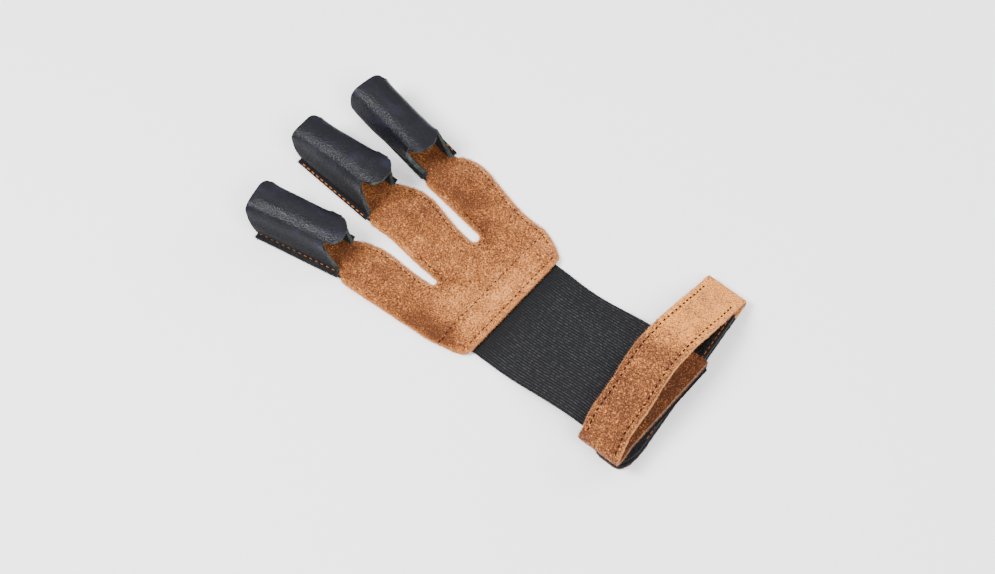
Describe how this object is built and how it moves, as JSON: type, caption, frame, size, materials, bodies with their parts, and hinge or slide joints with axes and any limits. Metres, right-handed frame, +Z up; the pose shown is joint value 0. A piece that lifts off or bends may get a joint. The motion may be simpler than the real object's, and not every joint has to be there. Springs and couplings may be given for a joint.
{
  "type": "three-finger archery glove",
  "caption": "Suede archery glove lying palm side up, with black leather finger pads, an elastic panel and a suede strap closed by hook and loop tape.",
  "frame": {"origin": "middle of the palm hem, on the flat underside of the elastic, which lies on the surface", "axes": "+Y to the fingertips, +X to the index finger's side, +Z up out of the surface, the palm side"},
  "size_m": [0.1032, 0.1949, 0.0231],
  "materials": {
    "palm_suede": "napped suede",
    "strap_suede": "napped suede",
    "pad_leather": "smooth, soft sheen",
    "elastic": "ribbed elastic",
    "hook_tape": "fine hooks",
    "loop_tape": "soft loops"
  },
  "bodies": {
    "root": {"glove_body": "palm_suede", "stall_ring": "pad_leather", "stall_middle": "pad_leather", "stall_index": "pad_leather", "elastic_band": "elastic", "wrist_strap": "strap_suede", "hook_tape": "hook_tape", "loop_tape": "loop_tape"}
  },
  "joints": []
}
